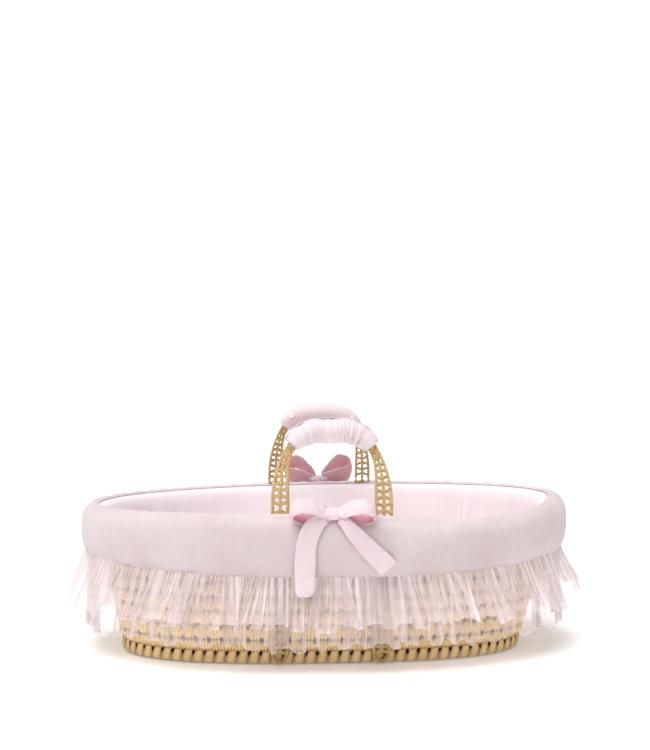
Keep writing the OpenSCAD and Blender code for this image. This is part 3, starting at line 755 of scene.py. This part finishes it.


# painted light: this pique is a paler copy of the valance pique, for the overhead light that whitens the
# grips' tops
paler_grip_pique = cotton("grip_pique", "#F6EAEC", "#EBDADD", thread=1.6, relief=0.35)
snap_share = 0.185
snap_turn = 55
snap_profile = [(0, 1.5), (1.6, 1.5), (2.4, 2.1), (3.6, 2.4), (4.8, 2.0),
                (5.4, 1.1), (5.5, 0), (5.0, -0.8), (0, -0.8)]        # radius, height
snap_enamel = start_material("white_lacquered_snap", {"Base Color": linear("#F6F2F0"), "Roughness": 0.28,
                                                      "Coat Weight": 0.4, "Coat Roughness": 0.15})[0]
for side_name, way, grip_span in (("front", -1, (45, 132)), ("back", 1, (47, 139))):
    arch_high = arch_heights[side_name]
    around_deg = np.tile(np.arange(0, 360, 7.5), (len(grip_s), 1))
    outer_face = np.clip(-np.sin(np.radians(around_deg)), 0, 1) ** 0.6
    mid_length = np.sin(np.pi * grip_s)[:, None] ** 1.4
    along_puckers = grip_s[:, None] + 0.004 * np.sin(np.radians(2 * around_deg))
    pucker = (gathers(along_puckers, 33, 60 + way) - 0.6) * outer_face * mid_length
    soft = 0.5 * ripple(grip_s, 2, 5, 62 + way)[:, None] * np.cos(np.radians(around_deg))
    tuck = -5 * (grip_s[:, None] < 0.004) - 5 * (grip_s[:, None] > 0.996)
    body = grip_surface(grip_s, around_deg, 4.0 * pucker + soft + tuck - 1.6 + 1.2 * outer_face)
    cover = add_grids(f"{side_name}_grip_cover", [stand(body, way)[:, ::way]], paler_grip_pique, caps=True)
    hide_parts(f"{side_name}_handle_cover")
    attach(cover, f"{side_name}_handle")

    flap_share = np.linspace(0.012, 0.988, 90)
    corner = np.abs(2 * flap_share - 1)
    low_edge = -4 + 6 * corner ** 10
    high_edge = 86 - 18 * corner ** 8 + 3 * ripple(flap_share, 2, 4, 64 + way)
    across = np.linspace(0, 1, 25)
    turns = low_edge[:, None] + (high_edge - low_edge)[:, None] * across[None]
    crown = np.sin(np.pi * across)[None] ** 0.4
    flap_swell = -0.2 + 1.3 * crown * np.sin(np.pi * flap_share)[:, None] ** 0.3
    flap_mid = grip_surface(flap_share, turns, flap_swell)
    flap_grid = thick(stand(flap_mid, way), 2.6 * np.sin(np.pi * np.clip(across, 0.03, 0.97)) ** 0.4)
    flap = add_grids(f"{side_name}_grip_flap", [flap_grid[:, ::-way]], paler_grip_pique, caps=True)
    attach(flap, f"{side_name}_handle")

    heads = []
    for share in (snap_share, 1 - snap_share):
        turns_near = np.array([[snap_turn - 3.0, snap_turn, snap_turn + 3.0]] * 3)
        nearby = grip_surface(np.array([share - 0.01, share, share + 0.01]), turns_near, 2.6)
        seat = nearby[1, 1]
        axis = np.cross(nearby[2, 1] - nearby[0, 1], nearby[1, 2] - nearby[1, 0])
        axis /= np.linalg.norm(axis)
        handle_degrees = np.array([grip_span[0] + share * (grip_span[1] - grip_span[0])])
        axis *= np.sign(axis @ (seat - arch(handle_degrees, arch_high)[0][0]))
        first = np.cross(axis, [1.0, 0, 0])
        first /= np.linalg.norm(first)
        second = np.cross(axis, first)
        turn = np.linspace(0, 2 * np.pi, 28, endpoint=False)[:, None]
        circle = first * np.cos(turn) + second * np.sin(turn)
        rings = [seat + axis * z + max(r, 0.05) * circle for r, z in snap_profile]
        heads.append(stand(np.array(rings), way)[::-1, ::-way])
    snaps = add_grids(f"{side_name}_grip_snaps", heads, snap_enamel, caps=True)
    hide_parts(f"{side_name}_handle_snaps")
    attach(snaps, f"{side_name}_handle")


# --- Bows ----------------------------------------------------------------------------
# Soft ribbon of doubled pique, tied through the handle on each side: two full
# loops on the cover's shoulder, a small knot, one tail hanging straight and one slanting.
# The front loops lie over the edge and the back ones stand up.

ribbon = cotton("ribbon_pique", "#F6E7EA", "#E9D2D8", thread=2.2, relief=0.9)
# painted light: the colour is mixed towards rose where a painted rose glow stands for light that bounces and
# shines through inside the loops
ribbon_shader = ribbon.node_tree.nodes["Principled BSDF"]
outside = ribbon_shader.inputs["Base Color"].links[0].from_socket
painted_glow = node(ribbon.node_tree, "Attribute", attribute_name="inside")
colour_with_glow = node(ribbon.node_tree, "Mix", {0: painted_glow.outputs["Fac"], 6: outside, 7: linear("#EDBAC5")},
                 data_type="RGBA")
ribbon.node_tree.links.new(colour_with_glow.outputs[2], ribbon_shader.inputs["Base Color"])
bow_y, bow_z = cover_w - 9, cover_top - 0.7


def on_shoulder(points, way, tilt=40, lean_out=40):
    """From the bow's own plane to its place: y is across the ribbon and tilts down from the bed's
    side, z is off the cover and leans outwards"""
    x, y, z = np.moveaxis(points, -1, 0)
    tilt, lean_out = math.radians(tilt), math.radians(lean_out)
    out = y * math.cos(tilt) + z * math.sin(lean_out)
    up = z * math.cos(lean_out) - y * math.sin(tilt)
    return settled(np.stack([-way * x, way * (bow_y + out), bow_z + up], -1))


def in_front(points, way):
    """From across, out of the cover's face and up from the knot, to its place"""
    x, y, z = np.moveaxis(points, -1, 0)
    return settled(np.stack([-way * x, way * (cover_w + y), bow_z + z], -1))


lying = [(6, 2), (18, 11), (36, 21), (54, 24), (66, 15), (66, 2), (50, -4.5), (26, -3), (6, -1)]
standing = [(6, 6), (15, 16), (28, 28), (43, 37), (57, 35), (66, 23), (57, 13), (34, 8), (6, 3)]
loop_half_width = {-1: 14.5, 1: 17}
loop_steps = np.linspace(0, 1, 61)
ribbon_across = np.linspace(-1, 1, 13)
for side_name, way, shape, tilt, lean_out in (("front", -1, lying, 40, 40), ("back", 1, standing, 65, 10)):
    for end_name, end in (("left", -1), ("right", 1)):
        seed = 70 + 2 * way + end
        path = smooth_line(shape, 61)
        full = np.sin(np.pi * loop_steps) ** 0.4
        half = loop_half_width[way] * (0.5 + 0.5 * full) + 0.8 * ripple(loop_steps, 1, 4, seed)
        y = half[:, None] * ribbon_across[None]
        near_root = (1 - full)[:, None]
        pinch = 3.4 * near_root * np.cos(3.5 * np.pi * ribbon_across + end)[None]
        folds_from_knot = 0.8 * np.clip(1 - loop_steps * 2.4, 0, 1)[:, None]
        folds_from_knot = folds_from_knot * np.cos(5 * np.pi * ribbon_across + seed)[None]
        upper = np.clip(1.6 * np.sin(2 * np.pi * np.clip(loop_steps, 0, 0.5)), 0, 1)[:, None]
        droop = (-6 if way < 0 else 2) * upper * np.clip(ribbon_across, 0, 1)[None] ** 1.6
        crease = 0.7 * ripple(loop_steps[:, None] + 0.1 * ribbon_across[None], 2, 7, seed + 9)
        x = path[:, :1] - 3 * (ribbon_across ** 2)[None] * full[:, None]
        z = path[:, 1:] + pinch + folds_from_knot + droop + crease
        loop_grid = thick(on_shoulder(np.stack([end * x, y, z], -1), way, tilt, lean_out), 1.8)
        loop_grid = loop_grid[:, ::-end * way]
        loop = add_grids(f"{side_name}_bow_{end_name}_ribbon_loop", [loop_grid], ribbon, caps=True)
        # the inner face of each front loop, the half nearer the loop's middle, gets the painted rose glow
        centre = loop_grid.mean(axis=(0, 1))
        halves = [loop_grid[:, :13], loop_grid[:, 13:]]
        spans = [np.linalg.norm(part - centre, axis=2).mean() for part in halves]
        glow_share = np.tile(np.repeat([0.0, 1.0] if spans[0] > spans[1] else [1.0, 0.0], 13), 61)
        if way > 0:                # the back loops get the painted rose glow on both sides, paler at their edges
            glow_share = np.tile(np.concatenate([0.85 - 0.7 * np.abs(ribbon_across) ** 8] * 2), 61)
        paint(loop, "inside", glow_share)
        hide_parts(f"{side_name}_bow_{'left' if end * -way < 0 else 'right'}_loop")
        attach(loop, "basket")

    turn = np.linspace(0, 2 * np.pi, 48, endpoint=False)
    lengthwise = np.linspace(-1, 1, 17)
    plump = (1 - 0.75 * np.abs(lengthwise) ** 5)[:, None]
    folds = 1 + 0.09 * np.cos(9 * turn)[None] + 0.06 * np.cos(4 * turn + 2)[None] * lengthwise[:, None]
    knot_grid = np.stack([18.5 * np.cos(turn)[None] * plump * folds,
                          10.5 * lengthwise[:, None] + 0 * turn[None],
                          2.4 + 7.4 * np.sin(turn)[None] * plump * folds], -1)
    knot_grid = on_shoulder(knot_grid, way)[:, ::way]
    knot = add_grids(f"{side_name}_bow_ribbon_knot", [knot_grid], ribbon, caps=True)
    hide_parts(f"{side_name}_bow_knot")
    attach(knot, "basket")

    # each tail: across, out, up and half its width
    hanging = [(-12, -1, -4, 9), (-25, 2.4, -10, 14), (-35, 2.8, -22, 16), (-42, 2.4, -42, 16.5),
               (-45, 2, -70, 17), (-45.5, 2.4, -95, 16.6), (-45, 4.7, -114, 16),
               (-45, 6.2, -124, 14), (-45, 6.8, -130, 8)]
    slanting = [(12, -1, -4, 8), (22, 2.6, -14, 11), (36, 3, -30, 14), (53, 2.6, -49, 16),
                (71, 2, -67, 17), (89, 2.2, -86, 17)]
    tail_steps = np.linspace(0, 1, 60)
    for end_name, cad_end, line in (("left", "left" if way < 0 else "right", hanging),
                                    ("right", "right" if way < 0 else "left", slanting)):
        spine = smooth_line(line, 60)
        heading = np.gradient(spine[:, [0, 2]], axis=0)
        heading /= np.linalg.norm(heading, axis=1, keepdims=True)
        side = np.stack([-heading[:, 1], 0 * heading[:, 0], heading[:, 0]], 1)
        curl = 1.4 * ripple(tail_steps, 1, 5, 75 + way)[:, None] * ribbon_across[None]
        cup = 1.1 * (ribbon_across ** 2)[None] * ripple(tail_steps, 1, 3, 77)[:, None]
        gathered = 1.6 * np.clip(1 - 3 * tail_steps, 0, 1)[:, None] * np.cos(3 * np.pi * ribbon_across)[None]
        tail_grid = spine[:, None, :3] + side[:, None] * (spine[:, 3:] * ribbon_across[None])[..., None]
        tail_grid[..., 1] += np.maximum(curl + cup + gathered, -0.6)
        plump = 1.4 + 1.6 * (1 - np.abs(ribbon_across) ** 3)
        tail_grid = thick(in_front(tail_grid, way), plump)
        tail = add_grids(f"{side_name}_bow_{end_name}_ribbon_tail", [tail_grid], ribbon, caps=True)
        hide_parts(f"{side_name}_bow_{cad_end}_tail")
        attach(tail, "basket")


# --- Mattress and fitted sheet ---------------------------------------------------------
# A flat oval of foam in a white cotton sheet with an elasticated edge tucked under it.

white_cotton = cotton("white_cotton", "#F7F6F6", "#E9E6E7", thread=1.2, relief=0.2)
foam_finish = {"Base Color": linear("#F1EAD6"), "Roughness": 0.95}
foam, foam_tree, foam_shader = start_material("cut_foam", foam_finish)
cells = node(foam_tree, "TexVoronoi", {"Scale": 1 / (1.5 * MM)})
pores = node(foam_tree, "Bump", {"Height": cells.outputs["Distance"], "Strength": 0.5, "Distance": 0.6 * MM})
foam_tree.links.new(pores.outputs[0], foam_shader.inputs["Normal"])
frame["nodes"]["mattress_foam"].data.materials.clear()
frame["nodes"]["mattress_foam"].data.materials.append(foam)

bed_columns = 480
bed_u = np.arange(bed_columns) / bed_columns
sheet_floor = bed_low[2]
sheet_top = bed_top - 0.2
sheet_line = [(32, sheet_floor), (10, sheet_floor), (1, sheet_floor + 1.2), (-1, sheet_floor + 8),
              (-1, bed_top - 10), (-0.6, bed_top - 3.2), (2, bed_top - 0.6), (24, sheet_top),
              (70, sheet_top), (bed_w - 2, sheet_top)]
sheet_rows = np.vstack([sheet_line[:1], smooth_line(sheet_line[1:7], 14), smooth_line(sheet_line[7:], 26)])
sheet_grid = ovals([(bed_l - i, bed_w - i, bed_round, z) for i, z in sheet_rows], bed_columns)
from_edge = np.clip(sheet_rows[:, 0] / 60, 0, 1)[:, None]
sheet_tucks = 0.5 * (1 + ripple(bed_u, 40, 110, 81)[None]).clip(0)
sheet_tucks = sheet_tucks * np.exp(-((sheet_rows[:, :1] - 8) / 16) ** 2)
sheet_soft = 0.6 * (ripple(bed_u, 2, 7, 82)[None] * np.sin(np.pi * from_edge))
sheet_grid[1:] += (outward(sheet_grid) * sheet_tucks[..., None])[1:]
sheet_grid[12:, :, 2] += sheet_soft[12:]
bed_sheet = add_grids("fitted_cotton_sheet", [sheet_grid], white_cotton, caps=True)
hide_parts("fitted_sheet")
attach(bed_sheet, "mattress")


# --- Pillow and coverlet ---------------------------------------------------------------
# A thin flat pillow rounded to the head end, and a light padded coverlet in pink cotton.
# Both are blown up a little as cloth, so that the wadding crowns them and puckers the edges.

def bed_edge(x, inset):
    """Half the bed's width at a place along it"""
    return (bed_w - inset) * np.clip(1 - (np.abs(x) / (bed_l - inset)) ** bed_round, 0, 1) ** (1 / bed_round)


def add_pad(name, x_from, x_to, inset, z_low, depth, corner, finish):
    """A flat pad cut to the bed's outline, thinner at its edge, as rings from its rim to its middle"""
    cut = x_to - x_from
    turn = np.linspace(0, 2 * np.pi, 240, endpoint=False)
    rim = []
    for angle in turn:
        c, s = math.cos(angle), math.sin(angle)
        x = (x_from + x_to) / 2 + cut / 2 * math.copysign(abs(c) ** (2 / corner), c)
        x = min(max(x, -bed_l + inset + 0.5), bed_l - inset - 0.5)
        y = math.copysign(min(abs(s) ** (2 / corner) * (bed_w - inset), bed_edge(x, inset)), s)
        rim.append((x, y))
    rim = np.array(rim)
    centre = np.array([(x_from + x_to) / 2, 0])
    rows = []
    over = [(1, 0.5), (0.99, 0.72), (0.965, 0.9), (0.9, 1), (0.75, 1), (0.5, 1), (0.25, 1), (0.02, 1)]
    beneath = [(0.02, 0), (0.5, 0), (0.9, 0), (0.965, 0.1), (0.99, 0.28)]
    for share, rise in over + beneath:
        rows.append(np.hstack([centre + (rim - centre) * share, np.full((240, 1), z_low + depth * rise)]))
    return add_grids(name, [np.array(rows)], finish, closed=True)


def blow_up(pad, voxel, pressure, shrink, cap, frames=20):
    """Swells a pad as cloth filled with wadding, holding every point within cap of where it was
    and its underside flat"""
    pad.modifiers.new("remesh", "REMESH").voxel_size = voxel * MM
    view = bpy.context.evaluated_depsgraph_get()
    even = bpy.data.meshes.new_from_object(pad.evaluated_get(view))
    pad.modifiers.clear()
    pad.data = even
    start = np.empty(len(even.vertices) * 3)
    even.vertices.foreach_get("co", start)
    start = start.reshape(-1, 3)
    cloth = pad.modifiers.new("cloth", "CLOTH")
    cloth.settings.quality = 4
    cloth.settings.mass = 0.3
    cloth.settings.tension_stiffness = 12
    cloth.settings.bending_stiffness = 0.6
    cloth.settings.use_pressure = True
    cloth.settings.uniform_pressure_force = pressure
    cloth.settings.shrink_min = shrink
    cloth.settings.effector_weights.gravity = 0
    for step in range(1, frames + 1):
        bpy.context.scene.frame_set(step)
    blown = pad.evaluated_get(bpy.context.evaluated_depsgraph_get()).to_mesh()
    end = np.empty(len(start) * 3)
    blown.vertices.foreach_get("co", end)
    end = end.reshape(-1, 3)
    pad.modifiers.clear()
    bpy.context.scene.frame_set(1)
    move = end - start
    far = np.maximum(np.linalg.norm(move, axis=1, keepdims=True) / (cap * MM), 1)
    end = start + move / far
    end[:, 2] = np.maximum(end[:, 2], start[:, 2].min())
    even.vertices.foreach_set("co", end.ravel())
    even.polygons.foreach_set("use_smooth", [True] * len(even.polygons))
    even.update()
    pad.modifiers.new("smooth", "SUBSURF").render_levels = 1


pillow_low, pillow_high = box("pillow")
pillow = add_pad("flat_pillow", pillow_low[0], pillow_high[0], 10, pillow_low[2] + 0.3,
                 pillow_high[2] - pillow_low[2] - 3, 6.5, white_cotton)
blow_up(pillow, voxel=4.5, pressure=3.0, shrink=-0.01, cap=9)
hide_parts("pillow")
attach(pillow, "pillow")

pink_cotton = cotton("coverlet_cotton", "#FBE7EA", "#F3D6DB", thread=1.3, relief=0.3)
quilt_low, quilt_high = box("coverlet")
quilt = add_pad("padded_coverlet", quilt_low[0], quilt_high[0], 5, quilt_low[2] + 0.3,
                quilt_high[2] - quilt_low[2] - 3, 7.5, pink_cotton)
blow_up(quilt, voxel=6, pressure=3.0, shrink=-0.012, cap=9)
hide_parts("coverlet")
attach(quilt, "coverlet")


# --- Turned-down sheet, border, piping and embroidery ------------------------------------
# The top sheet is turned down over the coverlet: white cotton, then a band of pink pique
# between rose piping. A small heart is satin-stitched in the middle of the white.

quilt_shape = BVHTree.FromObject(quilt, bpy.context.evaluated_depsgraph_get())
edge_x = quilt_low[0]
turndown_low, turndown_high = box("turndown_sheet")
border_high = box("turndown_border")[1]


def quilt_height(x, y):
    """How high the coverlet's top is; past its edge, as high as the nearest part inside"""
    for pull in (1, 0.97, 0.94, 0.9):
        above = Vector((max(x, edge_x + 6) * MM, y * pull * MM, 1))
        hit = quilt_shape.ray_cast(above, Vector((0, 0, -1)))[0]
        if hit:
            return hit.z / MM
    return quilt_high[2]


def laid(x_places, lift, inset, columns=90):
    """A strip laid on the coverlet from side to side, its two edges turned down"""
    grid = []
    for x in x_places:
        half = bed_edge(x, inset)
        row = []
        for y in np.linspace(-1, 1, columns):
            turned_down = 11 * max(0, abs(y) - 0.955) ** 2 / 0.045 ** 2
            row.append((x, half * y, quilt_height(x, half * y) + lift - turned_down))
        grid.append(row)
    return np.array(grid)


white_places = np.linspace(edge_x - 1, turndown_high[0], 22)
white_top = laid(white_places, 1.8, 4)
head_fold = [white_top[0] + np.array(step) for step in ((-3.2, 0, -2.5), (-4.4, 0, -8), (-4.2, 0, -15))]
head_fold[2][:, 2] = np.maximum(head_fold[2][:, 2], turndown_low[2] + 1.5)
white_top = np.concatenate([np.array(head_fold)[::-1], white_top])
creases = 0.9 * ripple(np.linspace(0, 1, 90), 3, 9, 91)[None] * np.linspace(1, 0.3, len(white_top))[:, None]
white_top[..., 2] += creases * np.linspace(0, 1, len(white_top))[:, None].clip(0, 0.2) * 5
turned = add_grids("turned_down_sheet", [thick(white_top, 1.6)], white_cotton, caps=True)
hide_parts("turndown_sheet")
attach(turned, "coverlet")

border_places = np.linspace(turndown_high[0] + 1.6, border_high[0], 18)
border_top = laid(border_places, 1.9, 4)
border_folds = np.cos(np.linspace(0, 3 * np.pi, 18))[:, None] ** 2
border_top[..., 2] += 0.35 * ripple(np.linspace(0, 1, 90), 12, 34, 92)[None] * border_folds
border = add_grids("turned_down_pique_border", [thick(border_top, 1.7)], pique, caps=True)
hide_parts("turndown_border")
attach(border, "coverlet")

rose_cord = cotton("rose_piping_cotton", "#F0BFC9", "#E3A4B2", thread=1.0)
pipes = []
for x in (turndown_high[0] + 0.4, border_high[0] + 0.8, border_high[0] + 8.3):
    pipes.append(laid([x], 2.4, 4.6)[0])
pipings = add_strands("turned_down_piping", pipes, 0.9, rose_cord)
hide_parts("turndown_piping")
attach(pipings, "coverlet")

rose_thread = cotton("rose_embroidery_thread", "#E88FA2", "#D97890", thread=0.8, sheen=0.5)
heart_low, heart_high = box("embroidered_heart")
heart_x = (heart_low[0] + heart_high[0]) / 2
stitches = []
for across in np.arange(-9.5, 9.6, 0.9):
    share = abs(across) / 9.8
    upper = 5.5 + 4.2 * math.sin(math.pi * min(share * 1.15, 1)) ** 0.9
    lower = -9 + 13.5 * share
    if upper - lower < 1.5:
        continue
    line = []
    for v in np.linspace(lower, upper, 7):
        raised_thread = 0.5 * math.sin(math.pi * (v - lower) / (upper - lower))
        line.append((heart_x - v, across, quilt_height(heart_x - v, across) + 3.3 + raised_thread))
    stitches.append(np.array(line))
heart = add_strands("embroidered_heart_stitches", stitches, 0.5, rose_thread)
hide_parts("embroidered_heart")
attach(heart, "coverlet")


# --- Studio ----------------------------------------------------------------------------
# A white floor that glows a little and a bright white backdrop far behind it, under an even
# white sky, one large soft light overhead to the left and a faint one to the right.

floor_finish = {"Base Color": linear("#F8F7F6"), "Roughness": 0.95, "Specular IOR Level": 0.1,
                "Emission Color": linear("#FFFFFF"), "Emission Strength": 0.24}
lit_floor = start_material("lit_white_floor", floor_finish)[0]
floor_corners = [(-9000, -6000, -0.2), (9000, -6000, -0.2), (9000, 9000, -0.2), (-9000, 9000, -0.2)]
ground = add_piece("studio_floor", floor_corners, [(0, 1, 2, 3)], lit_floor)
lit_wall = start_material("lit_white_backdrop", {"Base Color": linear("#FFFFFF"), "Emission Strength": 1.0,
                                                 "Emission Color": linear("#FFFFFF")})[0]
backdrop_corners = [(-7000, 8900, 0), (7000, 8900, 0), (7000, 8900, 5000), (-7000, 8900, 5000)]
backdrop = add_piece("studio_backdrop", backdrop_corners, [(0, 1, 2, 3)], lit_wall)

# name, where it shines from, its spread in degrees and its strength
studio_lamps = [("overhead_softbox", (-500, -500, 2000), 50, 3.25),
                ("right_softbox", (1600, -900, 1500), 60, 0.25)]
for name, place, spread, strength in studio_lamps:
    lamp = bpy.data.lights.new(name, "SUN")
    lamp.angle, lamp.energy = math.radians(spread), strength
    holder = bpy.data.objects.new(name, lamp)
    bpy.context.collection.objects.link(holder)
    holder.rotation_euler = Vector(place).to_track_quat("Z", "Y").to_euler()

world = bpy.data.worlds.new("studio_light")
world.use_nodes = True
world.node_tree.nodes["Background"].inputs["Color"].default_value = linear("#FFFFFF")
world.node_tree.nodes["Background"].inputs["Strength"].default_value = 0.2
bpy.context.scene.world = world
bpy.context.scene.view_settings.view_transform = "Standard"
